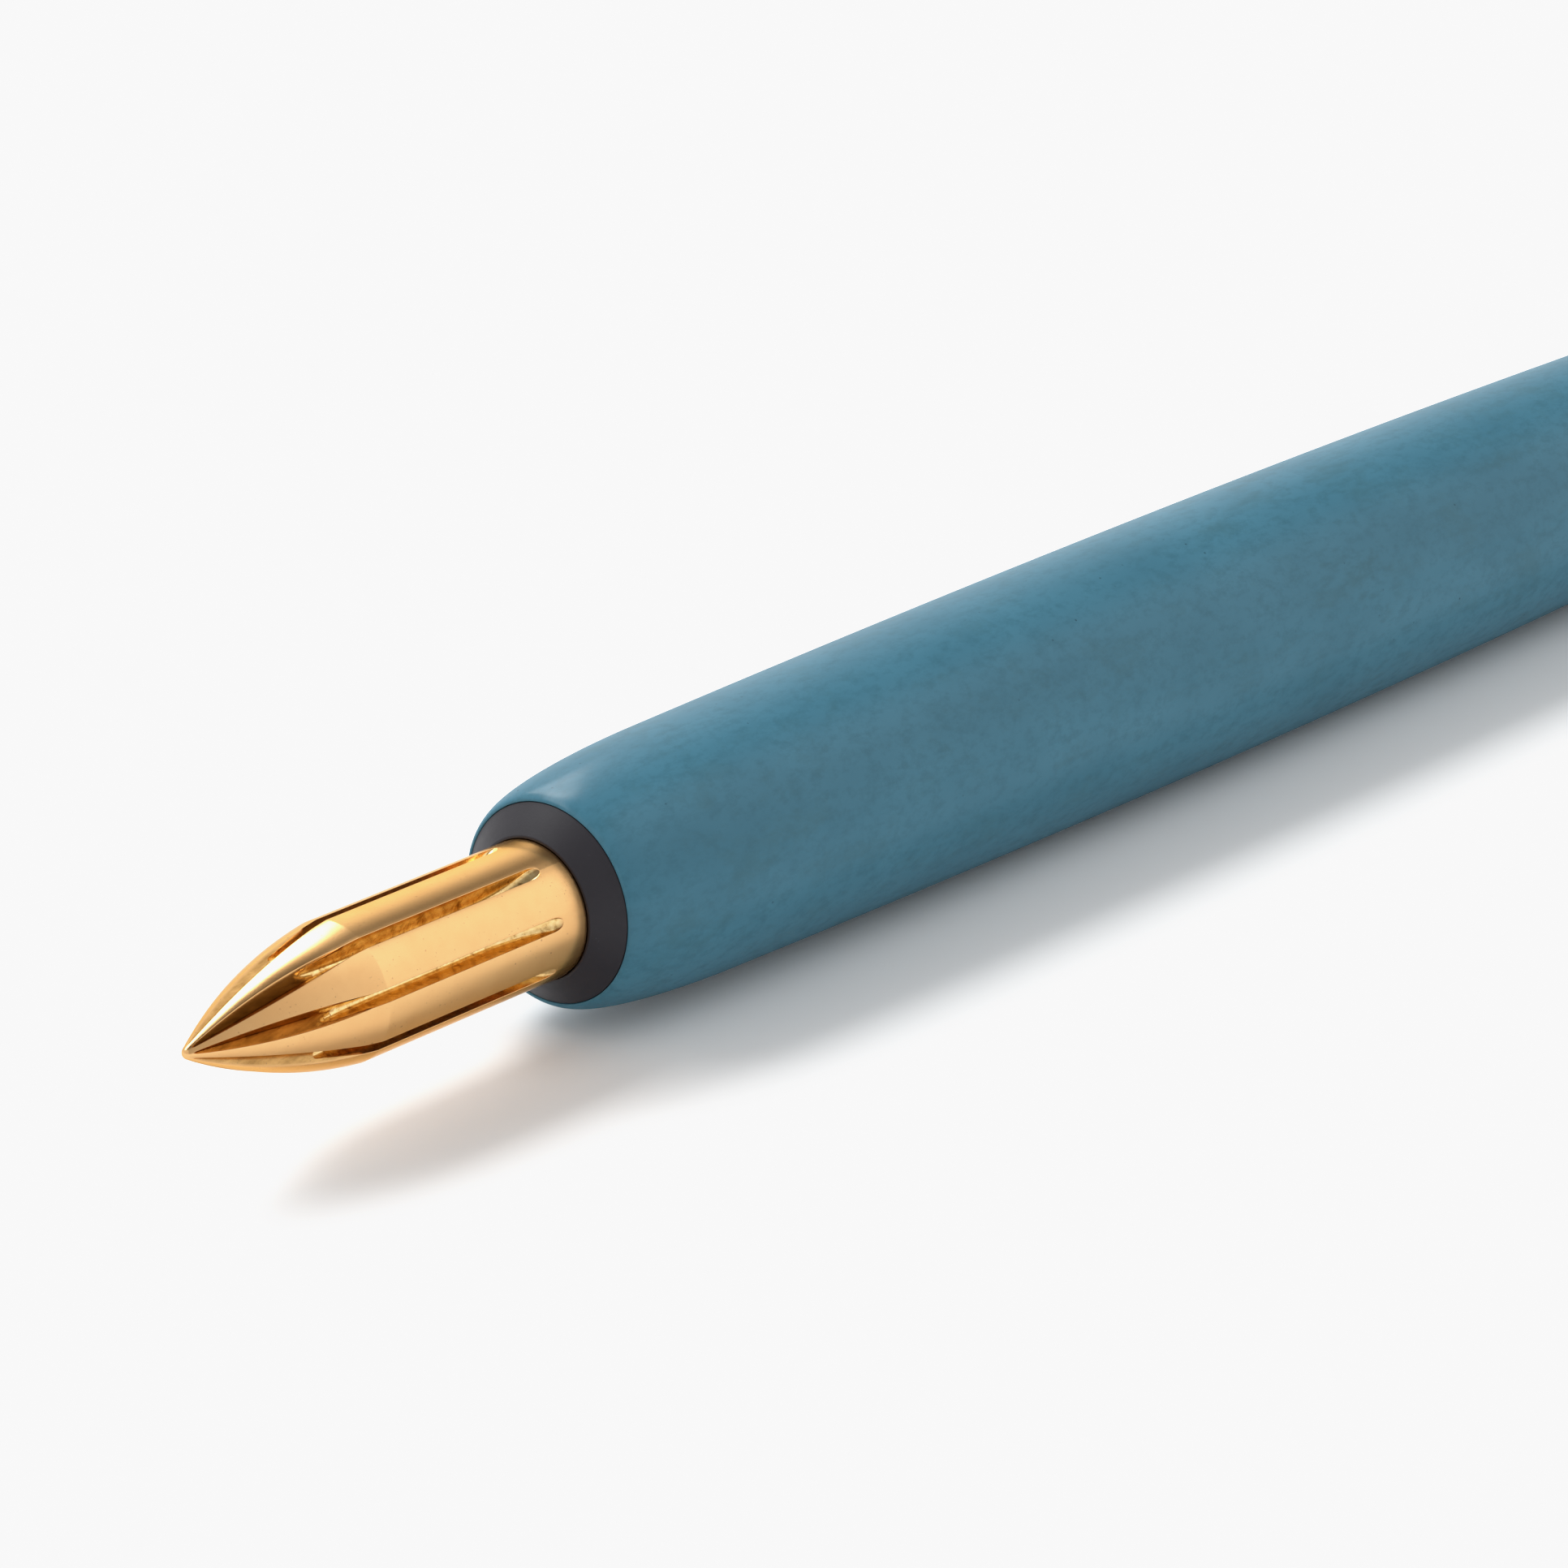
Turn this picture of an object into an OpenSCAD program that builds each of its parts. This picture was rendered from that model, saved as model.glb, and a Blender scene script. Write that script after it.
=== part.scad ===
// Dip pen: a torpedo-shaped holder with a moulded nib-holder insert and a solid, fluted brass nib.
// Stations along the pen are measured in millimetres from the plane of the holder's front rim:
// negative towards the nib's tip, positive towards the rear. Radii are measured from the pen's axis.

/* [Nib] */
// Diameter of the nib's plain cylinder and tail
nib_d = 6.5; // [6.3:0.1:6.6]
// Length of the nib outside the collar, tip to nose
head_len = 22; // [18:0.5:26]
// Length of the curved point, tip to shoulder
ogive_len = 9.2; // [8:0.1:11]
// Radius of the arc that the curved point follows
ogive_arc_r = 24.3; // [22:0.1:30]
// Radius of the rounded writing tip
tip_r = 0.3; // [0.2:0.05:0.4]
// Length of the half-pipe tail inside the holder
tail_len = 13.4; // [11:0.1:13.4]
// Wall of the half-pipe tail
tail_wall = 0.6; // [0.4:0.05:0.6]

/* [Flutes] */
// Number of flutes around the nib
flute_count = 8; // [6:1:10]
// Angle of the first flute from straight up
flute_turn = 33.5; // [0:0.5:45]
// Width of the straight flutes
flute_w = 0.62; // [0.4:0.02:0.7]
// Depth of the straight flutes below the cylinder
flute_depth = 1.05; // [0.7:0.05:1.2]
// Plain cylinder left between the flutes and the collar
flute_land = 1.5; // [1:0.1:4]
// Radius of the milling cutter that lifts out at the flutes' rear end
cutter_r = 10; // [6:0.5:14]
// Rise of the point's V grooves, radius gained per millimetre of length
vee_rise = 0.292; // [0.28:0.002:0.3]
// Included angle of the V grooves
vee_cut = 60; // [55:1:62]

/* [Holder] */
// Length of the holder behind its front rim
holder_len = 134; // [110:1:160]
// Largest diameter of the holder
holder_d = 12.8; // [12:0.1:15]
// Station of the largest diameter
girth_at = 53; // [45:1:60]
// Radius lost between the girth and the front rim, lip rounding apart
front_taper = 0.66; // [0.4:0.02:0.7]
// Radius lost between the girth and the rear end, end rounding apart
rear_taper = 1.7; // [1:0.1:2.5]
// Length of the rounded lip at the front
lip_len = 9; // [6:0.5:12]
// Length of the rounded rear end
end_len = 6.5; // [5:0.5:10]

/* [Collar] */
// Diameter of the collar's flange at the holder's rim
collar_d = 9.3; // [9:0.1:9.3]
// How far the collar's conical nose stands out of the rim
nose_len = 1.05; // [0.6:0.05:1.5]
// Length of the nose's lip in front of the clamp sleeve
nose_lip = 0.3; // [0.2:0.05:0.5]
// Diameter of the collar's sleeve inside the holder
sleeve_d = 8; // [7.6:0.1:8.4]
// Length of the sleeve inside the holder
sleeve_len = 17; // [16.5:0.1:20]

/* [Hidden] */
$fn = 96;

// Fits, all radial
press_gap = 0.02;   // between pieces that are pressed together
slide_gap = 0.03;   // between the nib's tail and what grips it

// Nib
nib_r = nib_d / 2;
tip_at = -nose_len - head_len;
shoulder_at = tip_at + ogive_len;
tail_from = 0.3;            // where the solid rod ends and the half pipe starts
tail_bore_r = nib_r - tail_wall;
tail_chamfer = 0.2;
// The point's arc passes through the shoulder and blends into the tip's ball.
// Its centre is found from the triangle shoulder, ball centre, arc centre.
ball_at = tip_at + tip_r;
chord = [shoulder_at - ball_at, nib_r];     // from the ball's centre to the shoulder
chord_len = norm(chord);
// Angle at the shoulder between the chord and the line to the arc's centre
centre_turn = acos((pow(ogive_arc_r, 2) + pow(chord_len, 2) - pow(ogive_arc_r - tip_r, 2))
                   / (2 * ogive_arc_r * chord_len));
chord_turn = atan2(chord[1], chord[0]);
arc_centre = [shoulder_at - ogive_arc_r * cos(chord_turn + centre_turn),
              nib_r - ogive_arc_r * sin(chord_turn + centre_turn)];

// Flutes
flute_floor_r = nib_r - flute_depth;
flute_rear = -nose_len - flute_land;
flute_runout = sqrt(pow(cutter_r, 2) - pow(cutter_r - flute_depth, 2));
flute_front = tip_at + 4;
vee_from_r = 0.51;          // floor radius of the V grooves, 1.1 mm behind the tip
vee_from = tip_at + 1.1;
vee_to = shoulder_at - 1.25;
vee_angle = atan(vee_rise);

// Holder
holder_r = holder_d / 2;
axis_z = holder_r;          // the pen lies on its girth
flange_len = 1.6;
flange_gap_r = collar_d / 2 + press_gap;
socket_r = sleeve_d / 2 + press_gap;
socket_len = sleeve_len + 0.3;
drill_cone_len = 2.4;
profile_step = 3;           // spacing of the holder outline's points, away from its ends
mid_at = (tip_at + holder_len) / 2;

// Insert
clamp_r = nib_r + slide_gap;            // bore of the clamp sleeve
clamp_wall = 0.15;
clamp_outer_r = clamp_r + clamp_wall;
clamp_split_w = 0.5;
collar_bore_r = clamp_outer_r + press_gap;
clamp_front = nose_lip - nose_len;
nose_land = 0.25;           // flat ring of the collar's nose around the nib
sleeve_chamfer = 0.4;
core_at = tail_len + 0.1;               // front face of the petal core's base
core_len = 1.5;
clamp_len = core_at - 0.1;
core_r = collar_bore_r - press_gap;
core_pin_r = 1.5;
core_pin_len = sleeve_len - core_at - core_len;
petal_r = tail_bore_r - slide_gap;
petal_waist_r = petal_r - 0.25;
petal_bore_r = 1.6;
petal_front = 0.9;
petal_taper_r = 0.5;        // radius lost over the petals' tapered front
petal_taper_len = 1;
petal_pad_len = 3;          // full-radius pads that press on the nib's tail
petal_neck_len = 1.5;       // from the pads down to the waist
petal_root_len = 1.5;       // solid root between the slots and the base
petal_slot_w = 0.9;

// Lays the pen down: the working axis Z becomes row +X, and straight up becomes working -X.
module on_axis() {
    translate([-mid_at, 0, axis_z])
        rotate([0, 90, 0])
            children();
}

// Point on the curved point's arc, at a station.
function ogive_r(at) = arc_centre[1] + sqrt(pow(ogive_arc_r, 2) - pow(at - arc_centre[0], 2));

// Angle on the tip's ball where the ogive's arc takes over, from the pen's axis.
blend_angle = atan2(-arc_centre[1], arc_centre[0] - ball_at);

function ball_point(turn) = [tip_r * sin(turn), ball_at - tip_r * cos(turn)];

module nib_outline() {
    arc_steps = 26;
    ball_steps = 6;
    blend_at = ball_at - tip_r * cos(blend_angle);
    polygon(concat(
        [for (i = [0 : ball_steps - 1]) ball_point(blend_angle * i / ball_steps)],
        [for (i = [0 : arc_steps])
            let (at = blend_at + (shoulder_at - blend_at) * i / arc_steps) [ogive_r(at), at]],
        [[nib_r, tail_len - tail_chamfer], [nib_r - tail_chamfer, tail_len], [0, tail_len]]
    ));
}

// Straight flute: parallel walls and a round bottom, lifting out on the cutter's radius at its rear.
module straight_flute() {
    half_w = flute_w / 2;
    lift_at = flute_rear - flute_runout;
    translate([0, 0, flute_front])
        linear_extrude(lift_at - flute_front) {
            translate([flute_floor_r + half_w, -half_w]) square([nib_r, flute_w]);
            translate([flute_floor_r + half_w, 0]) circle(r = half_w, $fn = 32);
        }
    translate([flute_floor_r + cutter_r, 0, lift_at])
        rotate([90, 0, 0])
            rotate_extrude($fn = 180) {
                translate([0, -half_w]) square([cutter_r - half_w, flute_w]);
                intersection() {
                    translate([cutter_r - half_w, 0]) circle(r = half_w, $fn = 32);
                    translate([0, -half_w]) square([cutter_r, flute_w]);
                }
            }
}

// V groove of the curved point, cut on a straight rise under the arc.
module vee_groove() {
    reach = 2.5;
    spread = reach * tan(vee_cut / 2);
    before = 3;
    translate([vee_from_r, 0, vee_from])
        rotate([0, vee_angle, 0])
            translate([0, 0, -before])
                linear_extrude(before + (vee_to - vee_from) / cos(vee_angle))
                    polygon([[0, 0], [reach, -spread], [reach, spread]]);
}

module nib() {
    color("goldenrod")
    on_axis()
    difference() {
        rotate_extrude() nib_outline();
        for (i = [0 : flute_count - 1])
            rotate([0, 0, 180 + flute_turn + i * 360 / flute_count]) {
                straight_flute();
                vee_groove();
            }
        // The tail is bored and its upper half is cut away
        translate([0, 0, tail_from]) cylinder(r = tail_bore_r, h = tail_len);
        translate([-nib_d, -nib_d, tail_from]) cube([nib_d, 2 * nib_d, tail_len]);
    }
}

module collar() {
    color("dimgray")
    on_axis()
    difference() {
        rotate_extrude()
            polygon([
                [0, -nose_len],
                [clamp_r + nose_land, -nose_len],
                [collar_d / 2, 0],
                [collar_d / 2, flange_len],
                [sleeve_d / 2, flange_len],
                [sleeve_d / 2, sleeve_len - sleeve_chamfer],
                [sleeve_d / 2 - sleeve_chamfer, sleeve_len],
                [0, sleeve_len]
            ]);
        translate([0, 0, -nose_len - 1]) cylinder(r = clamp_r, h = nose_lip + 2);
        translate([0, 0, clamp_front]) cylinder(r = collar_bore_r, h = core_at + core_len - clamp_front);
        translate([0, 0, core_at]) cylinder(r = core_pin_r + press_gap, h = sleeve_len);
    }
}

// Thin steel tube rolled from strip, behind the nose's lip, with its split at the bottom.
module clamp_sleeve() {
    color("lightgray")
    on_axis()
    difference() {
        translate([0, 0, clamp_front]) cylinder(r = clamp_outer_r, h = clamp_len - clamp_front);
        translate([0, 0, clamp_front - 1]) cylinder(r = clamp_r, h = clamp_len - clamp_front + 2);
        translate([0, -clamp_split_w / 2, clamp_front - 1])
            cube([2 * clamp_outer_r, clamp_split_w, clamp_len - clamp_front + 2]);
    }
}

// Four petals on a round base; the pin behind the base plugs into the collar's back wall.
module petal_core() {
    pad_end = petal_front + petal_taper_len + petal_pad_len;
    color("black")
    on_axis()
    difference() {
        rotate_extrude()
            polygon([
                [0, petal_front],
                [petal_r - petal_taper_r, petal_front],
                [petal_r, petal_front + petal_taper_len],
                [petal_r, pad_end],
                [petal_waist_r, pad_end + petal_neck_len],
                [petal_waist_r, core_at],
                [core_r, core_at],
                [core_r, core_at + core_len],
                [core_pin_r, core_at + core_len],
                [core_pin_r, core_at + core_len + core_pin_len],
                [0, core_at + core_len + core_pin_len]
            ]);
        translate([0, 0, petal_front - 1]) cylinder(r = petal_bore_r, h = core_at - petal_front);
        for (turn = [45, 135])
            rotate([0, 0, turn])
                translate([-nib_d, -petal_slot_w / 2, petal_front - 1])
                    cube([2 * nib_d, petal_slot_w, core_at - petal_front + 1 - petal_root_len]);
    }
}

// Radius of the holder's outside at a station: two parabolas that meet at the girth, a lip rounded
// on a quarter ellipse, and an elliptical rear end.
function taper(at) = at < girth_at
    ? front_taper * pow((girth_at - at) / girth_at, 2)
    : rear_taper * pow((at - girth_at) / (holder_len - girth_at), 2);
lip_drop = holder_r - front_taper - flange_gap_r;
function lip(at) = at < lip_len ? lip_drop * (1 - sqrt(1 - pow((lip_len - at) / lip_len, 2))) : 0;
end_from = holder_len - end_len;
function end_round(at) = at > end_from ? sqrt(max(0, 1 - pow((at - end_from) / end_len, 2))) : 1;
function holder_radius(at) = (holder_r - taper(at) - lip(at)) * end_round(at);

// Stations of the holder's outline: close together on the lip and the rear end, where it curves most.
lip_steps = 14;
end_steps = 14;
holder_stations = concat(
    [for (i = [0 : lip_steps]) lip_len * (1 - cos(90 * i / lip_steps))],
    [for (at = [lip_len + profile_step : profile_step : end_from - 0.5 * profile_step]) at],
    [for (i = [0 : end_steps]) end_from + end_len * sin(90 * i / end_steps)]
);

module holder_body() {
    color("steelblue")
    on_axis()
    difference() {
        rotate_extrude()
            polygon(concat(
                [[0, 0]],
                [for (at = holder_stations) [holder_radius(at), at]]
            ));
        translate([0, 0, -1]) cylinder(r = flange_gap_r, h = 1 + flange_len);
        translate([0, 0, -1]) cylinder(r = socket_r, h = 1 + socket_len);
        translate([0, 0, socket_len]) cylinder(r1 = socket_r, r2 = 0, h = drill_cone_len);
    }
}

nib();
collar();
clamp_sleeve();
petal_core();
holder_body();
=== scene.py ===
"""Looks of a dip pen: satin blue torpedo holder, dark collar and a solid fluted brass nib.

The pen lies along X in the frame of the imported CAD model, in metres, with its nib towards -X. The
design's own measures are in millimetres: stations along the pen, counted from the holder's front
rim, and radii about the pen's axis.
"""
import math

import bpy
import numpy as np
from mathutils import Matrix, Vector


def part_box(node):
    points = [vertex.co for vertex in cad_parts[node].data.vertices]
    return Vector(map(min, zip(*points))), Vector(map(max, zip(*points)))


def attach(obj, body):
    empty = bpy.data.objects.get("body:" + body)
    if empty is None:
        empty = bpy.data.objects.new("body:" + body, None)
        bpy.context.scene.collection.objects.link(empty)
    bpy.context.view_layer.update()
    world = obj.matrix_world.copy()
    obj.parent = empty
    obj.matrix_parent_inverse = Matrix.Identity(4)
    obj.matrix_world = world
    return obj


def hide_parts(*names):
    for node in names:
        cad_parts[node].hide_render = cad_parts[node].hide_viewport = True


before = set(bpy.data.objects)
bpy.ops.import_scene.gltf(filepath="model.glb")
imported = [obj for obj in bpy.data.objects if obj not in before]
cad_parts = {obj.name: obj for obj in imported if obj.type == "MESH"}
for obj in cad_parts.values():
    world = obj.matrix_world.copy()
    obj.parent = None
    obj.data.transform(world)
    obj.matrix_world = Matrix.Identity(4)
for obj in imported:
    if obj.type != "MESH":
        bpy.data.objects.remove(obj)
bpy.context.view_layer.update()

MM = 0.001
nib_low, nib_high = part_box("nib")
collar_low, collar_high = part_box("collar")
clamp_low, clamp_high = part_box("clamp_sleeve")
core_low, core_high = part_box("petal_core")
holder_low, holder_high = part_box("holder_body")

RIM_X = holder_low.x                                # the holder's front rim, station 0
AXIS_Z = (holder_low.z + holder_high.z) / 2         # height of the pen's axis


def station(x):
    """Station in millimetres behind the rim of a place along X."""
    return (x - RIM_X) / MM


TIP_AT = station(nib_low.x)
NOSE_AT = station(collar_low.x)
TAIL_END = station(nib_high.x)
NIB_R = (nib_high.y - nib_low.y) / 2 / MM
COLLAR_R = (collar_high.y - collar_low.y) / 2 / MM
SLEEVE_END = station(collar_high.x)
CLAMP_R = (clamp_high.y - clamp_low.y) / 2 / MM     # outside of the clamp sleeve
CLAMP_FROM = station(clamp_low.x)
CLAMP_END = station(clamp_high.x)
CORE_R = (core_high.y - core_low.y) / 2 / MM
CORE_FRONT = station(core_low.x)


# ---------------------------------------------------------------- mesh helpers

SIDE_SHARE = 0.45           # a rounded corner takes at most this share of a side


def place(at, radial, sideways):
    """A point of the pen: station, height above the axis and sideways offset, in millimetres."""
    return (RIM_X + at * MM, sideways * MM, AXIS_Z + radial * MM)


def make_piece(name, points, faces, body, material, replaced, sharp_deg=35):
    """A mesh object that rides on a CAD body and stands for a CAD node."""
    mesh = bpy.data.meshes.new(name)
    mesh.from_pydata(points, [], faces)
    mesh.validate()
    mesh.update()
    for polygon in mesh.polygons:
        polygon.use_smooth = True
    mesh.set_sharp_from_angle(angle=math.radians(sharp_deg))
    piece = bpy.data.objects.new(name, mesh)
    bpy.context.scene.collection.objects.link(piece)
    mesh.materials.append(material)
    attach(piece, body)
    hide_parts(replaced)
    return piece


def quarter(steps):
    """Angles from zero to a quarter turn."""
    return [math.pi / 2 * k / steps for k in range(steps + 1)]


def spaced(start, end, step):
    """Stations about a step apart, from the start up to but without the end."""
    count = max(1, round((end - start) / step))
    return [start + (end - start) * k / count for k in range(count)]


def rounded(outline, radius, steps=5):
    """The outline, closed, with each corner rounded: points are (station, radius from the axis)."""
    points = [np.array(p, float) for p in outline]
    result = []
    for i, corner in enumerate(points):
        if corner[1] <= 0:          # a corner on the axis stays
            result.append(tuple(corner))
            continue
        before = points[i - 1] - corner
        after = points[(i + 1) % len(points)] - corner
        reach = min(radius, SIDE_SHARE * np.linalg.norm(before), SIDE_SHARE * np.linalg.norm(after))
        start = corner + before / np.linalg.norm(before) * reach
        end = corner + after / np.linalg.norm(after) * reach
        for k in range(steps + 1):
            t = k / steps
            result.append(tuple((1 - t) ** 2 * start + 2 * t * (1 - t) * corner + t * t * end))
    return result


def revolve(outline, segments, first_deg=0.0, last_deg=360.0):
    """Points and faces of a closed outline turned about the pen's axis, all round or part of it."""
    whole = last_deg - first_deg >= 360
    turns = segments if whole else segments + 1
    points, faces, rings = [], [], []
    for i in range(turns):
        turn = math.radians(first_deg + (last_deg - first_deg) * i / segments)
        ring = []
        for j, (at, radius) in enumerate(outline):
            if radius <= 0 and i > 0:
                ring.append(rings[0][j])
                continue
            ring.append(len(points))
            points.append(place(at, radius * math.cos(turn), radius * math.sin(turn)))
        rings.append(ring)
    count = len(outline)
    for i in range(segments):
        this, following = rings[i], rings[(i + 1) % turns]
        for j in range(count):
            k = (j + 1) % count
            face = [this[j], this[k], following[k], following[j]]
            face = [v for n, v in enumerate(face) if v not in face[:n]]
            if len(face) > 2:
                faces.append(face)
    if not whole:
        faces.append(list(reversed(rings[0])))
        faces.append(rings[-1])
    return points, faces


# ---------------------------------------------------------------- node helpers

MIX_A, MIX_B, MIX_RESULT = 6, 7, 2      # the Mix node's sockets for colours


def add_node(tree, kind, **settings):
    """A new node of a kind, with its settings."""
    made = tree.nodes.new(kind)
    for key, value in settings.items():
        setattr(made, key, value)
    return made


def fill_ramp(ramp, stops):
    """Gives a ramp node its stops of (position, grey or colour)."""
    elements = ramp.color_ramp.elements
    while len(elements) < len(stops):
        elements.new(0.5)
    for element, (position, colour) in zip(elements, stops):
        element.position = position
        grey = isinstance(colour, (int, float))
        element.color = (colour, colour, colour, 1) if grey else (*colour, 1)


class Shader:
    """A material with short calls for its nodes. Lengths in textures are in millimetres."""

    def __init__(self, name):
        self.material = bpy.data.materials.new(name)
        self.material.use_nodes = True
        self.tree = self.material.node_tree
        self.bsdf = self.tree.nodes["Principled BSDF"]
        coordinates = self.node("ShaderNodeTexCoord")
        self.place = self.node("ShaderNodeVectorMath", operation="SCALE")
        self.place.inputs["Scale"].default_value = 1 / MM
        self.link(coordinates.outputs["Object"], self.place.inputs[0])

    def node(self, kind, **settings):
        return add_node(self.tree, kind, **settings)

    def link(self, source, target):
        self.tree.links.new(source, target)

    def set(self, **values):
        """Sets sockets of the shader to values that are the same all over."""
        for name, value in values.items():
            self.bsdf.inputs[name.replace("_", " ")].default_value = value

    def stretched(self, scale):
        """Coordinates in millimetres, scaled along each axis."""
        mapping = self.node("ShaderNodeMapping")
        mapping.inputs["Scale"].default_value = scale
        self.link(self.place.outputs[0], mapping.inputs["Vector"])
        return mapping.outputs[0]

    def noise(self, size_mm, detail=3.0, roughness=0.5, stretch=(1, 1, 1)):
        noise = self.node("ShaderNodeTexNoise")
        noise.inputs["Scale"].default_value = 1 / size_mm
        noise.inputs["Detail"].default_value = detail
        noise.inputs["Roughness"].default_value = roughness
        self.link(self.stretched(stretch), noise.inputs["Vector"])
        return noise.outputs["Fac"]

    def specks(self, size_mm, threshold):
        """Sparse round specks: 1 inside a speck, 0 elsewhere."""
        cells = self.node("ShaderNodeTexVoronoi")
        cells.inputs["Scale"].default_value = 1 / size_mm
        self.link(self.place.outputs[0], cells.inputs["Vector"])
        return self.ramp(cells.outputs["Distance"], [(threshold * 0.5, 1.0), (threshold, 0.0)])

    def ramp(self, value, stops):
        """Maps a value through stops of (position, grey or colour)."""
        ramp = self.node("ShaderNodeValToRGB")
        fill_ramp(ramp, stops)
        self.link(value, ramp.inputs[0])
        return ramp.outputs[0]

    def mix(self, amount, first, second):
        """Mixes two colours, each a socket or a fixed colour, by the amount that a socket gives."""
        mix = self.node("ShaderNodeMix", data_type="RGBA")
        self.link(amount, mix.inputs[0])
        for socket, value in ((mix.inputs[MIX_A], first), (mix.inputs[MIX_B], second)):
            if isinstance(value, tuple):
                socket.default_value = (*value, 1)
            else:
                self.link(value, socket)
        return mix.outputs[MIX_RESULT]

    def range(self, value, low, high):
        """A 0 to 1 value moved to low to high."""
        spread = self.node("ShaderNodeMapRange")
        spread.inputs["To Min"].default_value = low
        spread.inputs["To Max"].default_value = high
        self.link(value, spread.inputs["Value"])
        return spread.outputs[0]

    def product(self, first, second):
        product = self.node("ShaderNodeMath", operation="MULTIPLY")
        self.link(first, product.inputs[0])
        self.link(second, product.inputs[1])
        return product.outputs[0]

    def attribute(self, name):
        return self.node("ShaderNodeAttribute", attribute_name=name).outputs["Fac"]

    def bump(self, height, depth_mm, strength, below=None):
        """Bumps of a height socket, on top of those below where they are given."""
        bump = self.node("ShaderNodeBump")
        bump.inputs["Strength"].default_value = strength
        bump.inputs["Distance"].default_value = depth_mm * MM
        self.link(height, bump.inputs["Height"])
        if below is not None:
            self.link(below, bump.inputs["Normal"])
        self.link(bump.outputs[0], self.bsdf.inputs["Normal"])
        return bump.outputs[0]

    def colour(self, socket):
        self.link(socket, self.bsdf.inputs["Base Color"])

    def roughness(self, socket):
        self.link(socket, self.bsdf.inputs["Roughness"])


# ---------------------------------------------------------------- materials

def brass():
    """Handled brass, tarnished in the V grooves and oxidised in the flutes, as the attributes mark."""
    s = Shader("brass")
    s.set(Metallic=1.0, Specular_Tint=(0.82, 0.64, 0.42, 1))
    patina = s.ramp(s.noise(2.6, 4, 0.55),
                    [(0.35, (0.71, 0.405, 0.168)), (0.65, (0.745, 0.44, 0.188))])
    handled = s.mix(s.ramp(s.noise(0.7, 5, 0.6), [(0.5, 0.0), (0.8, 0.35)]), patina, (0.66, 0.37, 0.15))
    streaks = s.noise(0.4, 5, 0.7, (0.3, 1, 1))
    tarnish = s.ramp(streaks, [(0.35, (0.38, 0.205, 0.065)), (0.65, (0.62, 0.36, 0.13))])
    dried = s.noise(0.55, 5, 0.7, (1.1, 1, 1))
    oxide = s.ramp(dried, [(0.34, (0.37, 0.20, 0.065)), (0.46, (0.73, 0.48, 0.19)),
                           (0.60, (0.86, 0.63, 0.30))])
    in_vee = s.mix(s.attribute("vee"), handled, tarnish)
    in_flute = s.mix(s.attribute("flute"), in_vee, oxide)
    flecks = s.product(s.specks(0.55, 0.10), s.ramp(s.noise(2.0, 2), [(0.48, 0.0), (0.6, 0.8)]))
    pitted = s.mix(flecks, in_flute, (0.25, 0.14, 0.07))
    pits = s.product(s.specks(0.22, 0.13), s.ramp(s.noise(1.3, 2), [(0.40, 0.0), (0.58, 0.8)]))
    s.colour(s.mix(pits, pitted, (0.22, 0.12, 0.06)))
    polish = s.range(s.noise(0.9, 4, 0.6, (0.3, 1, 1)), 0.15, 0.27)
    s.roughness(s.mix(s.attribute("flute"), polish, s.range(dried, 0.14, 0.30)))
    fine = s.bump(s.noise(0.12, 2, 0.5, (0.15, 1, 1)), 0.002, 0.35)
    s.bump(s.noise(0.8, 2), 0.008, 0.25, fine)
    return s.material


def dark_moulding():
    """Matte aubergine-grey moulding of the collar, with a little dust."""
    s = Shader("dark_moulding")
    base = s.mix(s.noise(1.6, 3), (0.0072, 0.0060, 0.0102), (0.0108, 0.0090, 0.0150))
    dust = s.ramp(s.noise(0.10, 2, 0.6), [(0.70, 0.0), (0.82, 0.35)])
    s.colour(s.mix(dust, base, (0.10, 0.095, 0.11)))
    s.set(Specular_IOR_Level=0.36)
    s.roughness(s.range(s.noise(0.5, 3), 0.44, 0.56))
    s.bump(s.noise(0.09, 2), 0.006, 0.5)
    return s.material


def black_moulding():
    """Plain black moulding of the petal core."""
    s = Shader("black_moulding")
    s.colour(s.mix(s.noise(1.2, 3), (0.020, 0.020, 0.022), (0.035, 0.035, 0.038)))
    s.roughness(s.range(s.noise(0.4, 3), 0.36, 0.5))
    s.bump(s.noise(0.08, 2), 0.005, 0.4)
    return s.material


def spring_steel():
    """Rolled strip, with its streaks along the pen."""
    s = Shader("spring_steel")
    s.set(Metallic=1.0)
    rolled = s.noise(0.25, 4, 0.6, (0.12, 1, 1))
    s.colour(s.mix(rolled, (0.46, 0.44, 0.40), (0.62, 0.60, 0.55)))
    s.roughness(s.range(rolled, 0.24, 0.4))
    s.bump(rolled, 0.003, 0.4)
    return s.material


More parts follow.
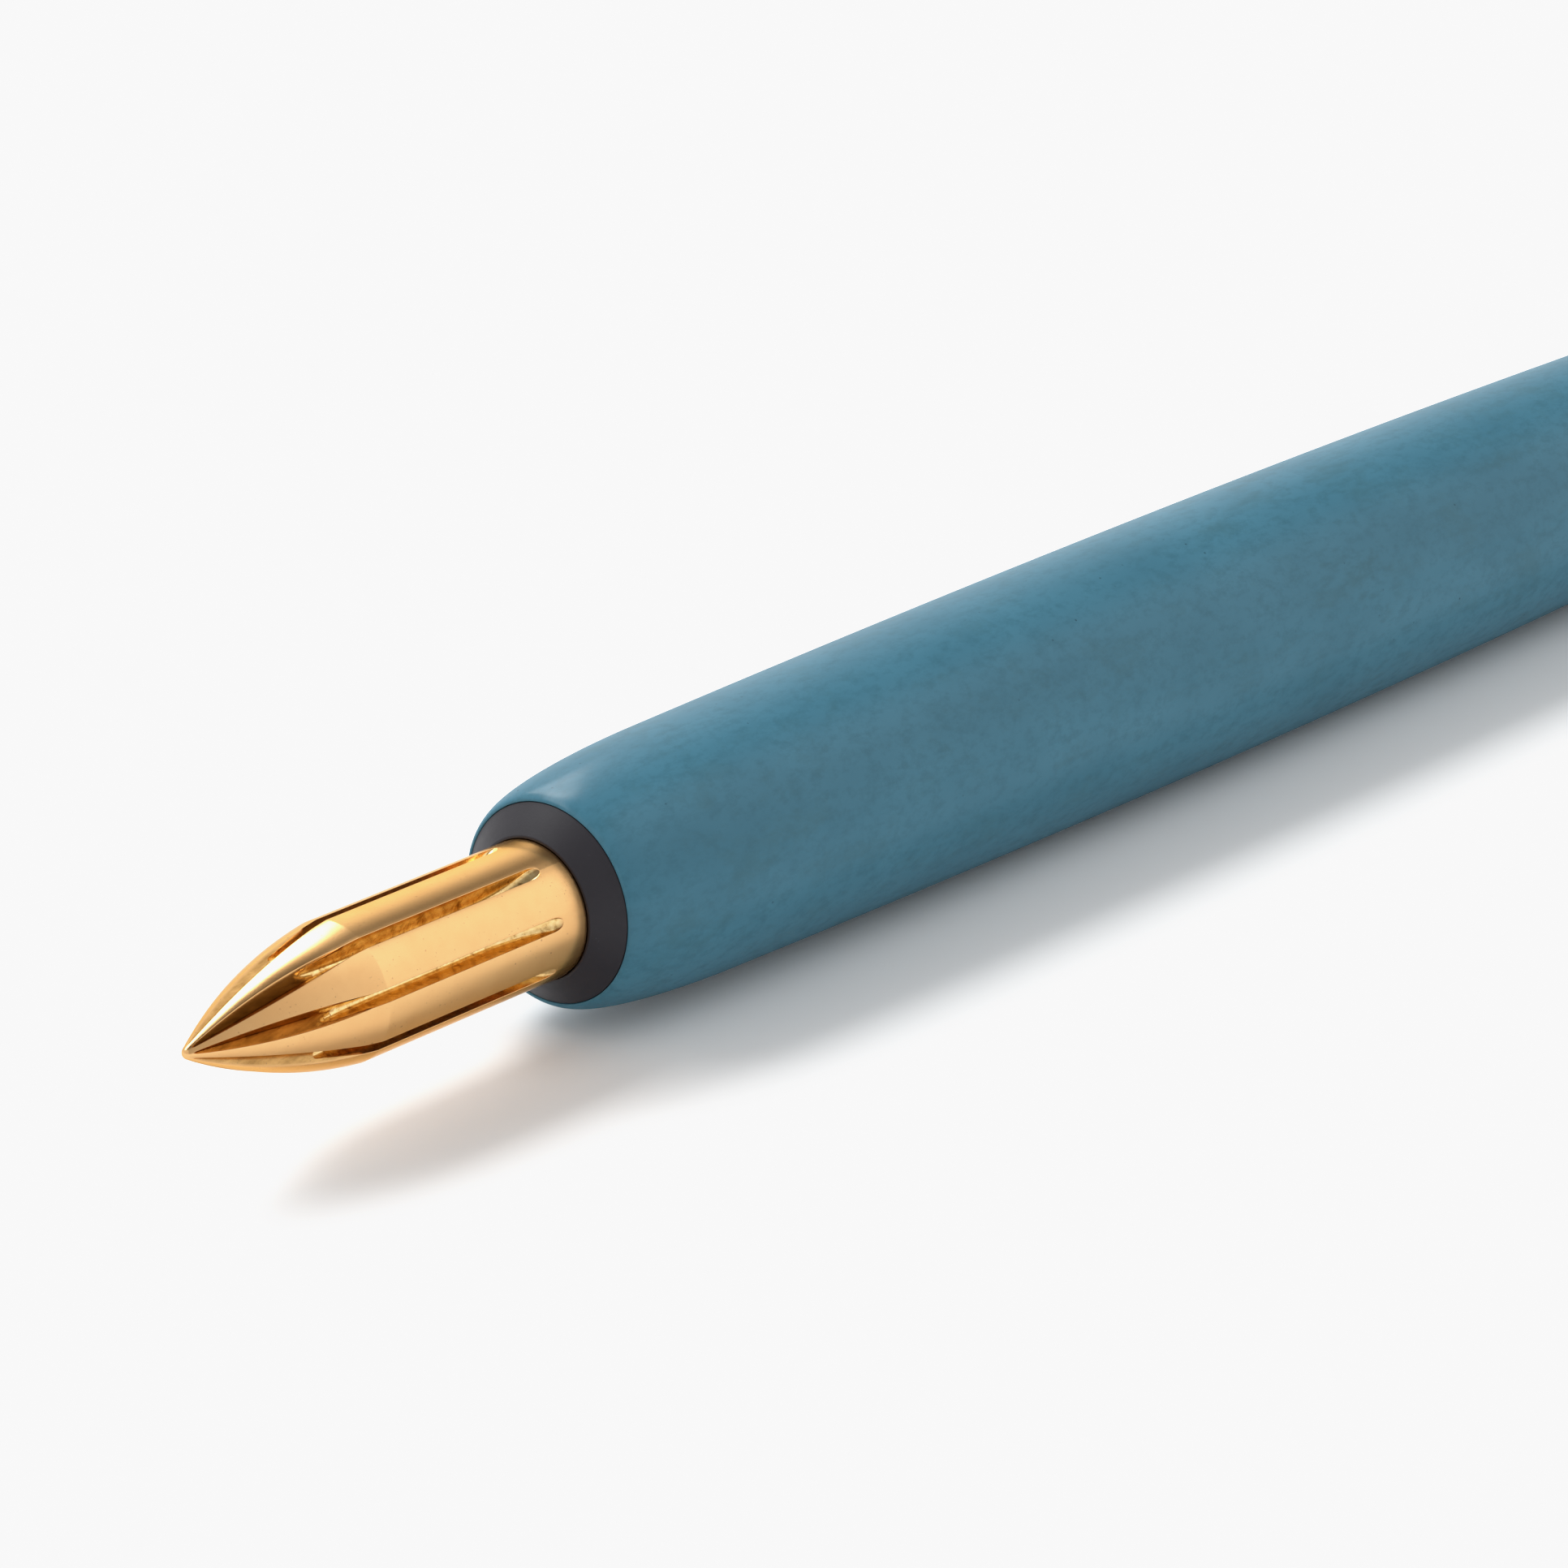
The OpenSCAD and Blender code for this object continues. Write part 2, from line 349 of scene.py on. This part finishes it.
def blue_lacquer():
    """Satin paint under a thin worn gloss, with cloudy wear, handling smudges and a few specks."""
    s = Shader("blue_lacquer")
    s.set(Specular_IOR_Level=0.0, Roughness=0.5, Coat_Weight=0.3, Coat_Roughness=0.22)
    wear = s.noise(6.0, 4, 0.6, (0.5, 1, 1))
    clouds = s.ramp(wear, [(0.35, (0.044, 0.140, 0.197)), (0.62, (0.053, 0.161, 0.224))])
    mottle = s.ramp(s.noise(0.55, 5, 0.7, (0.6, 1, 1)), [(0.46, 0.0), (0.70, 0.55)])
    mottled = s.mix(mottle, clouds, (0.033, 0.108, 0.148))
    smudge = s.ramp(s.noise(2.2, 5, 0.75, (0.55, 1, 1)), [(0.52, 0.0), (0.68, 0.45)])
    smudged = s.mix(smudge, mottled, (0.042, 0.118, 0.150))
    specks = s.product(s.specks(1.1, 0.07), s.ramp(s.noise(5.0, 2), [(0.5, 0.0), (0.62, 0.75)]))
    s.colour(s.mix(specks, smudged, (0.015, 0.042, 0.060)))
    fine = s.bump(s.noise(0.35, 3, 0.5, (0.4, 1, 1)), 0.004, 0.35)
    s.bump(s.noise(3.5, 2), 0.02, 0.3, fine)
    return s.material


# ---------------------------------------------------------------- nib

OGIVE_LEN = 9.2             # tip to shoulder
OGIVE_ARC_R = 24.3          # radius of the arc that the point follows
TIP_BALL_R = 0.3
TAIL_FROM = 0.3             # station where the half-pipe tail starts
TAIL_WALL = 0.6
TAIL_EDGE = 0.015           # share of the radius by which the edges of the tail's end are broken
TAIL_EDGE_LEN = 0.15
FLUTE_COUNT = 8
FLUTE_TURN = 11.5           # first flute, degrees from straight up towards +Y
FLUTE_FROM = 5.75           # the straight flutes' round front ends start this far behind the tip
FLUTE_HALF_W = 0.30
FLUTE_FLOOR_R = 2.2
FLUTE_LAND = 1.5            # plain cylinder between the flutes and the collar
CUTTER_R = 10.0             # of the cutter whose run-out ends the flutes
FLOOR_SQUARENESS = 3.2      # exponent of the superellipse of a flute's floor, where 2 is round
VEE_FROM = 0.35             # the V grooves start this far behind the tip
VEE_FLOOR_R = 0.51          # radius of their floor at VEE_FLOOR_AT behind the tip
VEE_FLOOR_AT = 1.1
VEE_RISE = 0.292            # radius that their floor gains per millimetre
VEE_SPREAD = math.tan(math.radians(30))     # half-width per depth
EDGE = 0.035                # width of the worn edge of a groove,
EDGE_SHARE = 0.3            # and the most that it may be of the groove's half-width
TARNISH_FROM = 0.12         # depth at which a groove is fully tarnished
MIDDLE_REACH = 0.99         # a groove's points stay within this share of the head's radius,
EDGE_REACH = 0.9            # and the lands between the grooves start within this one

BALL_STEPS = 8
VEE_STEPS = 6
FLOOR_STEPS = 9
LAND_STEPS = 12

SHOULDER_AT = TIP_AT + OGIVE_LEN
FLUTE_FRONT = TIP_AT + FLUTE_FROM
FLUTE_REAR = NOSE_AT - FLUTE_LAND
FLUTE_RUNOUT = math.sqrt(CUTTER_R ** 2 - (CUTTER_R - (NIB_R - FLUTE_FLOOR_R)) ** 2)


def ogive_centre():
    """Centre of the arc through the shoulder that blends into the tip's ball."""
    ball_at = TIP_AT + TIP_BALL_R
    along = SHOULDER_AT - ball_at
    chord = math.hypot(along, NIB_R)
    turn = math.acos((OGIVE_ARC_R ** 2 + chord ** 2 - (OGIVE_ARC_R - TIP_BALL_R) ** 2)
                     / (2 * OGIVE_ARC_R * chord))
    lean = math.atan2(NIB_R, along) + turn
    return SHOULDER_AT - OGIVE_ARC_R * math.cos(lean), NIB_R - OGIVE_ARC_R * math.sin(lean)


ARC_AT, ARC_R = ogive_centre()
BLEND = math.atan2(-ARC_R, ARC_AT - TIP_AT - TIP_BALL_R)    # turn on the ball where the arc takes over
BLEND_AT = TIP_AT + TIP_BALL_R * (1 - math.cos(BLEND))


def head_radius(at):
    """Radius of the nib's head without its flutes."""
    if at >= SHOULDER_AT:
        return NIB_R
    if at >= BLEND_AT:
        return ARC_R + math.sqrt(OGIVE_ARC_R ** 2 - (at - ARC_AT) ** 2)
    return math.sqrt(max(0.0, TIP_BALL_R ** 2 - (at - TIP_AT - TIP_BALL_R) ** 2))


def vee_depth(at):
    """Depth of the point's V grooves on their middle line."""
    floor_r = VEE_FLOOR_R + VEE_RISE * (at - TIP_AT - VEE_FLOOR_AT)
    return max(0.0, head_radius(at) - floor_r) if at > TIP_AT + VEE_FROM else 0.0


def flute_size(at):
    """Half-width and depth of the straight flutes: round at the front, lifting out at the rear."""
    if at <= FLUTE_FRONT or at >= FLUTE_REAR:
        return 0.0, 0.0
    half_w = FLUTE_HALF_W
    floor_r = FLUTE_FLOOR_R
    into = at - FLUTE_FRONT
    if into < FLUTE_HALF_W:
        half_w = math.sqrt(FLUTE_HALF_W ** 2 - (FLUTE_HALF_W - into) ** 2)
        floor_r += FLUTE_HALF_W - half_w
    past = at - (FLUTE_REAR - FLUTE_RUNOUT)
    if past > 0:
        floor_r += CUTTER_R - math.sqrt(CUTTER_R ** 2 - past ** 2)
    depth = max(0.0, head_radius(at) - floor_r)
    if depth < half_w:      # the round bottom is narrower where the cut is shallow
        half_w = math.sqrt(max(0.0, 2 * depth * half_w - depth ** 2))
    return half_w, depth


def groove_section(at):
    """Half of a groove's section, edge to middle: (sideways offset, depth, 1 in the straight flute)."""
    vee = vee_depth(at)
    half_w, depth = flute_size(at)
    widest = max(vee * VEE_SPREAD, half_w)
    edge = min(EDGE, EDGE_SHARE * widest)
    # The worn edge falls away slowly from the land and then turns into the wall
    section = [(widest + edge, 0.0, 0.0), (widest + 0.3 * edge, 0.08 * edge, 0.0)]

    def vee_at(offset):
        return max(0.0, vee - offset / VEE_SPREAD)

    for k in range(VEE_STEPS):
        offset = widest + (min(half_w, widest) - widest) * k / VEE_STEPS
        section.append((offset, vee_at(offset) + 0.5 * edge, 0.0))
    for turn in quarter(FLOOR_STEPS):
        offset = half_w * math.cos(turn) ** (2 / FLOOR_SQUARENESS)
        fall = depth * math.sin(turn) ** (2 / FLOOR_SQUARENESS)
        straight = 1.0 if fall > vee_at(offset) else 0.0
        section.append((offset, max(vee_at(offset), fall) + (0.5 * edge if turn == 0 else 0), straight))
    return section


def nib_ring(at):
    """One ring of the head: (radial, sideways, share in a V, share in a flute) for each point."""
    base = head_radius(at)
    section = groove_section(at)
    whole = section + [(-offset, depth, straight) for offset, depth, straight in reversed(section[:-1])]
    edge_turn = math.asin(min(EDGE_REACH, section[0][0] / base))
    pitch = 2 * math.pi / FLUTE_COUNT
    ring = []
    for flute in range(FLUTE_COUNT):
        middle = math.radians(FLUTE_TURN) + flute * pitch
        for offset, depth, straight in reversed(whole):
            offset = max(-MIDDLE_REACH * base, min(MIDDLE_REACH * base, offset))
            out = math.sqrt(base ** 2 - offset ** 2) - depth
            radial = out * math.cos(middle) - offset * math.sin(middle)
            sideways = out * math.sin(middle) + offset * math.cos(middle)
            tarnished = min(1.0, depth / TARNISH_FROM)
            ring.append((radial, sideways, tarnished * (1 - straight), tarnished * straight))
        for k in range(1, LAND_STEPS):
            turn = middle + edge_turn + (pitch - 2 * edge_turn) * k / LAND_STEPS
            ring.append((base * math.cos(turn), base * math.sin(turn), 0.0, 0.0))
    return ring


def nib_stations():
    """Stations of the nib's rings, close together where the shape turns or a flute begins or ends."""
    result = [TIP_AT + TIP_BALL_R * (1 - math.cos(BLEND * k / BALL_STEPS)) for k in range(1, BALL_STEPS)]
    # Each span's start, and the step within it
    spans = [(BLEND_AT, 0.12), (FLUTE_FRONT - 0.3, 0.03), (FLUTE_FRONT + 0.5, 0.12),
             (SHOULDER_AT - 0.2, 0.05), (SHOULDER_AT + 0.2, 0.5), (FLUTE_REAR - FLUTE_RUNOUT, 0.1),
             (FLUTE_REAR - 0.6, 0.03), (FLUTE_REAR + 0.03, 0.4)]
    ends = [start for start, _ in spans[1:]] + [TAIL_FROM]
    for (start, step), end in zip(spans, ends):
        result += spaced(start, end, step)
    return result + [TAIL_FROM]


def nib_head():
    """Points, groove marks and faces of the head, tip first and ring by ring, and its last ring."""
    points = [place(TIP_AT, 0, 0)]
    marks = [(0.0, 0.0)]
    faces = []
    before = []
    for at in nib_stations():
        ring = nib_ring(at)
        this = [len(points) + j for j in range(len(ring))]
        points += [place(at, radial, sideways) for radial, sideways, _, _ in ring]
        marks += [(vee, flute) for _, _, vee, flute in ring]
        for j in range(len(ring)):
            k = (j + 1) % len(ring)
            if before:
                faces.append((before[j], before[k], this[k], this[j]))
            else:
                faces.append((0, this[k], this[j]))
        before = this
    return points, marks, faces, before


def nib_tail(points, marks, faces, rim):
    """Adds the half-pipe tail, whose outer wall goes on from the lower half of the head's last ring."""
    count = len(rim)
    low = [j for j in range(count) if points[rim[j]][2] < AXIS_Z - 1e-6]
    start = next(j for j in low if (j - 1) % count not in low)
    outer = [rim[(start + n) % count] for n in range(len(low))]
    high = [rim[(start + n) % count] for n in range(len(low), count)]
    share = (NIB_R - TAIL_WALL) / NIB_R

    def moved(at, scale):
        """The outer wall's points again at another station, nearer the axis or further from it."""
        first = len(points)
        for index in outer:
            _, y, z = points[index]
            points.append((RIM_X + at * MM, y * scale, AXIS_Z + (z - AXIS_Z) * scale))
            marks.append((0.0, 0.0))
        return list(range(first, len(points)))

    inner = moved(TAIL_FROM, share)
    outer_end = moved(TAIL_END, 1 - TAIL_EDGE)
    outer_near = moved(TAIL_END - TAIL_EDGE_LEN, 1.0)
    inner_end = moved(TAIL_END, share * (1 + TAIL_EDGE))
    loops = [outer, outer_near, outer_end, inner_end, inner]
    for front, back in zip(loops, loops[1:]):
        for n in range(len(outer) - 1):
            faces.append((front[n], front[n + 1], back[n + 1], back[n]))
    faces.append([loop[0] for loop in loops])
    faces.append([loop[-1] for loop in reversed(loops)])
    faces.append([outer[-1]] + high + [outer[0]] + inner)


def nib(material):
    """Head with its flutes, then the half-pipe tail, as one closed mesh."""
    points, marks, faces, rim = nib_head()
    nib_tail(points, marks, faces, rim)
    piece = make_piece("nib_brass", points, faces, "nib", material, "nib", 40)
    for column, name in enumerate(("vee", "flute")):
        layer = piece.data.attributes.new(name, "FLOAT", "POINT")
        layer.data.foreach_set("value", np.array(marks, np.float32)[:, column].copy())
    return piece


# ---------------------------------------------------------------- holder and insert

GAP = 0.02                  # between pieces that fit into each other
HOLDER_SEGMENTS = 192       # faces around each turned piece
COLLAR_SEGMENTS = 144
CLAMP_SEGMENTS = 140
CORE_SEGMENTS = 96

HOLDER_LEN = station(holder_high.x)
HOLDER_R = (holder_high.y - holder_low.y) / 2 / MM
GIRTH_AT = 53.0             # station of the largest diameter
FRONT_TAPER = 0.66          # radius lost from the girth to the front
REAR_TAPER = 1.7            # and to the rear
LIP_LEN = 9.0               # rounded lip
LIP_STEPS = 40
BARREL_STEP = 1.2           # between the lip and the rear end
END_LEN = 6.5               # rounded rear end
END_STEPS = 32
RIM_EDGE = 0.05             # lacquer rolled over the rim's inner edge
RIM_STEPS = 6
SOCKET_R = 4.02
SOCKET_LEN = 17.3
DRILL_CONE = 2.4

FLANGE_LEN = 1.6
SLEEVE_R = 4.0
SLEEVE_CHAMFER = 0.4
MOUTH_R = 3.28              # the collar's nose closes on the nib in front of the clamp sleeve
NOSE_LAND = 0.12            # flat ring around that mouth
MOULDED_EDGE = 0.035

CLAMP_WALL = 0.15
CLAMP_SPLIT_DEG = 8.5
CLAMP_EDGE = 0.05

CORE_BASE_AT = 13.5         # front face of the petal core's base
CORE_BASE_LEN = 1.5
CORE_BASE_END = CORE_BASE_AT + CORE_BASE_LEN
CORE_PIN_R = 1.5
CORE_EDGE = 0.12
PETAL_R = 2.62
PETAL_TAPER_R = 0.5         # radius lost over the petals' tapered front
PETAL_TAPER_LEN = 1.0
PETAL_PAD_LEN = 3.0         # full-radius pads that press on the nib's tail
PETAL_NECK_LEN = 1.5        # from the pads down to the waist
PETAL_WAIST_R = 2.37
PETAL_BORE_R = 1.6
PETAL_BORE_END = CORE_BASE_AT - 1.0
PETAL_SLOT_W = 0.9
PETAL_SLOT_TURNS = (45, 135)
PETAL_SLOT_END = CORE_BASE_AT - 1.5
CUTTER_REACH = 4.0          # from the axis to the edges of the plate that cuts the slots


def holder_radius(at):
    """Two parabolas that meet at the girth, a lip on a quarter ellipse and an elliptical rear end."""
    if at < GIRTH_AT:
        radius = HOLDER_R - FRONT_TAPER * ((GIRTH_AT - at) / GIRTH_AT) ** 2
    else:
        radius = HOLDER_R - REAR_TAPER * ((at - GIRTH_AT) / (HOLDER_LEN - GIRTH_AT)) ** 2
    if at < LIP_LEN:
        lip_drop = HOLDER_R - FRONT_TAPER - COLLAR_R - GAP - RIM_EDGE
        radius -= lip_drop * (1 - math.sqrt(1 - ((LIP_LEN - at) / LIP_LEN) ** 2))
    past = at - HOLDER_LEN + END_LEN
    if past > 0:
        radius *= math.sqrt(max(0.0, 1 - (past / END_LEN) ** 2))
    return radius


def holder_body(material):
    """The outside from the rim to the rear end, then back through the drilled socket to the rim."""
    lip = [LIP_LEN * (1 - math.cos(turn)) for turn in quarter(LIP_STEPS)[:-1]]
    barrel = spaced(LIP_LEN, HOLDER_LEN - END_LEN, BARREL_STEP)
    end = [HOLDER_LEN - END_LEN + END_LEN * math.sin(turn) for turn in quarter(END_STEPS)]
    outside = [(at, holder_radius(at)) for at in lip + barrel + end]
    outside[-1] = (HOLDER_LEN, 0.0)
    rim_r = COLLAR_R + GAP
    bore = [(SOCKET_LEN + DRILL_CONE, 0.0), (SOCKET_LEN, SOCKET_R), (FLANGE_LEN, SOCKET_R),
            (FLANGE_LEN, rim_r)]
    rolled = [(RIM_EDGE * (1 - math.cos(turn)), rim_r + RIM_EDGE * (1 - math.sin(turn)))
              for turn in reversed(quarter(RIM_STEPS)[1:])]
    points, faces = revolve(outside + bore + rolled, HOLDER_SEGMENTS)
    return make_piece("holder_lacquered", points, faces, "holder", material,
                      "holder_body")


def collar(material):
    """Conical nose, flange in the holder's rim, and the sleeve with its bores for the insert."""
    bore_r = CLAMP_R + GAP
    pin_bore_r = CORE_PIN_R + GAP
    outline = [(NOSE_AT, MOUTH_R), (NOSE_AT, MOUTH_R + NOSE_LAND), (0.0, COLLAR_R),
               (FLANGE_LEN, COLLAR_R), (FLANGE_LEN, SLEEVE_R), (SLEEVE_END - SLEEVE_CHAMFER, SLEEVE_R),
               (SLEEVE_END, SLEEVE_R - SLEEVE_CHAMFER), (SLEEVE_END, pin_bore_r),
               (CORE_BASE_END, pin_bore_r), (CORE_BASE_END, bore_r), (CLAMP_FROM, bore_r),
               (CLAMP_FROM, MOUTH_R)]
    points, faces = revolve(rounded(outline, MOULDED_EDGE), COLLAR_SEGMENTS)
    return make_piece("collar_moulded", points, faces, "holder", material, "collar")


def clamp_sleeve(material):
    """A thin tube, split along its bottom."""
    inner_r = CLAMP_R - CLAMP_WALL
    outline = [(CLAMP_FROM, inner_r), (CLAMP_FROM, CLAMP_R), (CLAMP_END, CLAMP_R),
               (CLAMP_END, inner_r)]
    half_split = CLAMP_SPLIT_DEG / 2
    points, faces = revolve(rounded(outline, CLAMP_EDGE, 3), CLAMP_SEGMENTS,
                            180 + half_split, 540 - half_split)
    return make_piece("clamp_steel", points, faces, "holder", material, "clamp_sleeve")


def petal_core(material):
    """Four petals around a bore, on a round base with a pin behind it."""
    pad_from = CORE_FRONT + PETAL_TAPER_LEN
    pad_end = pad_from + PETAL_PAD_LEN
    outline = [(CORE_FRONT, PETAL_BORE_R), (CORE_FRONT, PETAL_R - PETAL_TAPER_R), (pad_from, PETAL_R),
               (pad_end, PETAL_R), (pad_end + PETAL_NECK_LEN, PETAL_WAIST_R),
               (CORE_BASE_AT, PETAL_WAIST_R), (CORE_BASE_AT, CORE_R), (CORE_BASE_END, CORE_R),
               (CORE_BASE_END, CORE_PIN_R), (SLEEVE_END, CORE_PIN_R), (SLEEVE_END, 0.0),
               (PETAL_BORE_END, 0.0), (PETAL_BORE_END, PETAL_BORE_R)]
    points, faces = revolve(rounded(outline, CORE_EDGE, 4), CORE_SEGMENTS)
    piece = make_piece("petal_core_moulded", points, faces, "holder", material,
                       "petal_core")
    for turn_deg in PETAL_SLOT_TURNS:
        slot = slot_cutter(turn_deg)
        cut = piece.modifiers.new("slot", "BOOLEAN")
        cut.object = slot
        cut.operation = "DIFFERENCE"
        cut.solver = "EXACT"
        with bpy.context.temp_override(object=piece, active_object=piece, selected_objects=[piece]):
            bpy.ops.object.modifier_apply(modifier=cut.name)
        bpy.data.objects.remove(slot)
    return piece


def slot_cutter(turn_deg):
    """A plate through the pen's axis that cuts two opposite slots between the petals."""
    turn = math.radians(turn_deg)
    half_w = PETAL_SLOT_W / 2
    points = []
    for at in (CORE_FRONT - 1, PETAL_SLOT_END):
        for wide, thick in ((-CUTTER_REACH, -half_w), (CUTTER_REACH, -half_w),
                            (CUTTER_REACH, half_w), (-CUTTER_REACH, half_w)):
            points.append(place(at, wide * math.cos(turn) - thick * math.sin(turn),
                                wide * math.sin(turn) + thick * math.cos(turn)))
    faces = [(0, 1, 2, 3), (7, 6, 5, 4), (0, 4, 5, 1), (1, 5, 6, 2), (2, 6, 7, 3), (3, 7, 4, 0)]
    mesh = bpy.data.meshes.new("slot")
    mesh.from_pydata(points, [], faces)
    cutter = bpy.data.objects.new("slot", mesh)
    bpy.context.scene.collection.objects.link(cutter)
    return cutter


# ---------------------------------------------------------------- stage

CAMERA_AZIMUTH = -50.76     # of the picture's right-hand direction, from +X towards +Y
CAMERA_ELEVATION = 19.74
CAMERA_DISTANCE = 0.2879
CAMERA_LENS = 149.07
SENSOR_W = 36
AIM_RIGHT = 0.01049         # the holder's rim sits this far left of the middle of the picture
AIM_UP = 0.00528            # and this far below it


def direction(azimuth, elevation):
    """Unit vector towards a place in the studio, azimuth from +X towards +Y."""
    azimuth, elevation = math.radians(azimuth), math.radians(elevation)
    return Vector((math.cos(elevation) * math.cos(azimuth), math.cos(elevation) * math.sin(azimuth),
                   math.sin(elevation)))


def camera():
    """A long lens that looks down on the pen, with its nib at the lower left of the picture."""
    data = bpy.data.cameras.new("camera")
    data.lens = CAMERA_LENS
    data.sensor_width = SENSOR_W
    data.clip_start, data.clip_end = 0.01, 50
    away = direction(CAMERA_AZIMUTH - 90, CAMERA_ELEVATION)
    right = direction(CAMERA_AZIMUTH, 0)
    up = away.cross(right)
    rim = Vector((RIM_X, 0, AXIS_Z))
    seen = bpy.data.objects.new("camera", data)
    seen.location = rim + away * CAMERA_DISTANCE + right * AIM_RIGHT + up * AIM_UP
    seen.rotation_euler = (-away).to_track_quat("-Z", "Y").to_euler()
    bpy.context.scene.collection.objects.link(seen)
    bpy.context.scene.camera = seen


def softbox(name, azimuth, elevation, distance, width, height, radiance):
    """A rectangular area light that faces the pen. Radiance is what a mirror would show."""
    data = bpy.data.lights.new(name, "AREA")
    data.shape = "RECTANGLE"
    data.size, data.size_y = width, height
    data.energy = radiance * math.pi * width * height
    lamp = bpy.data.objects.new(name, data)
    towards = direction(azimuth, elevation)
    lamp.location = Vector((RIM_X, 0, AXIS_Z)) + towards * distance
    lamp.rotation_euler = (-towards).to_track_quat("-Z", "Y").to_euler()
    lamp.visible_camera = False
    bpy.context.scene.collection.objects.link(lamp)


# Radiance of the studio's walls by azimuth in degrees, measured from +X towards +Y
WALLS = [(-180, 1.0), (-140, 0.95),
         # a dim stretch just right of the camera, then a bright wall at the picture's right
         (-125, 0.55), (-105, 0.67), (-90, 0.79), (-70, 1.03), (-50, 1.38), (-42, 1.5), (-35, 1.63),
         # a dark gap in line with the pen's rear end, between that wall and the next
         (-24, 1.58), (-17, 1.38), (-10, 0.95), (0, 0.46), (10, 0.28), (17, 0.35), (27, 0.76), (33, 1.2),
         # the wall behind the pen and at the picture's left
         (39, 1.45), (44, 1.6), (60, 1.5), (78, 1.1), (130, 1.1), (155, 1.05), (180, 1.0)]
CEILING = 0.22
CEILING_FROM = 58           # elevation at which the walls begin to turn into the ceiling
CEILING_TO = 74             # and the one at which they have
BRIGHTEST = 2.5             # the ramp holds radiance as a share of this


def studio_world():
    """Walls whose brightness changes with azimuth, under a dim ceiling."""
    world = bpy.data.worlds.new("studio")
    world.use_nodes = True
    tree = world.node_tree
    background = tree.nodes["Background"]
    coordinates = add_node(tree, "ShaderNodeTexCoord")
    split = add_node(tree, "ShaderNodeSeparateXYZ")
    azimuth = add_node(tree, "ShaderNodeMath", operation="ARCTAN2")
    turn = add_node(tree, "ShaderNodeMapRange")
    walls = add_node(tree, "ShaderNodeValToRGB")
    height = add_node(tree, "ShaderNodeMapRange", interpolation_type="SMOOTHSTEP")
    mix = add_node(tree, "ShaderNodeMix", data_type="RGBA")
    tree.links.new(coordinates.outputs["Generated"], split.inputs[0])
    tree.links.new(split.outputs["Y"], azimuth.inputs[0])
    tree.links.new(split.outputs["X"], azimuth.inputs[1])
    tree.links.new(azimuth.outputs[0], turn.inputs["Value"])
    tree.links.new(turn.outputs[0], walls.inputs[0])
    tree.links.new(split.outputs["Z"], height.inputs["Value"])
    tree.links.new(height.outputs[0], mix.inputs[0])
    tree.links.new(walls.outputs[0], mix.inputs[MIX_A])
    tree.links.new(mix.outputs[MIX_RESULT], background.inputs["Color"])
    turn.inputs["From Min"].default_value = -math.pi
    turn.inputs["From Max"].default_value = math.pi
    height.inputs["From Min"].default_value = math.sin(math.radians(CEILING_FROM))
    height.inputs["From Max"].default_value = math.sin(math.radians(CEILING_TO))
    fill_ramp(walls, [(degrees / 360 + 0.5, radiance / BRIGHTEST) for degrees, radiance in WALLS])
    mix.inputs[MIX_B].default_value = (*[CEILING / BRIGHTEST] * 3, 1)
    background.inputs["Strength"].default_value = BRIGHTEST
    bpy.context.scene.world = world


# Response of the picture: as it is up to a soft shoulder, then paper white (value in, value shown)
WHITE_LEVEL = 1.5
RESPONSE = [(0.0, 0.0), (0.75, 0.75), (0.87, 0.86), (0.97, 0.925), (1.06, 0.94), (WHITE_LEVEL, 0.94)]
COMBINED = 3                # the curve that acts on all three channels


def picture_response():
    """Sets the response as a curve of straight pieces."""
    view = bpy.context.scene.view_settings
    view.view_transform = "Standard"
    view.use_curve_mapping = True
    mapping = view.curve_mapping
    mapping.extend = "HORIZONTAL"
    mapping.white_level = [WHITE_LEVEL] * 3
    points = mapping.curves[COMBINED].points
    while len(points) < len(RESPONSE):
        points.new(0.5, 0.5)
    for point, (value, shown) in zip(points, RESPONSE):
        point.location = (value / WHITE_LEVEL, shown)
        point.handle_type = "VECTOR"
    mapping.update()


def floor():
    """White paper, matte, with a barely visible unevenness."""
    s = Shader("floor_paper")
    s.colour(s.mix(s.noise(30.0, 3), (0.86, 0.86, 0.86), (0.88, 0.88, 0.88)))
    s.set(Roughness=0.9, Specular_IOR_Level=0.1)
    half = 4.0
    corners = [(-half, -half, 0), (half, -half, 0), (half, half, 0), (-half, half, 0)]
    mesh = bpy.data.meshes.new("floor")
    mesh.from_pydata(corners, [], [(0, 1, 2, 3)])
    mesh.materials.append(s.material)
    sheet = bpy.data.objects.new("floor", mesh)
    bpy.context.scene.collection.objects.link(sheet)


camera()
nib(brass())
collar(dark_moulding())
clamp_sleeve(spring_steel())
petal_core(black_moulding())
holder_body(blue_lacquer())
floor()
studio_world()
softbox("key_softbox", azimuth=96, elevation=57, distance=3.0, width=3.0, height=1.15, radiance=5.4)
softbox("side_softbox", azimuth=59, elevation=42, distance=3.0, width=1.15, height=1.6, radiance=5.5)
picture_response()
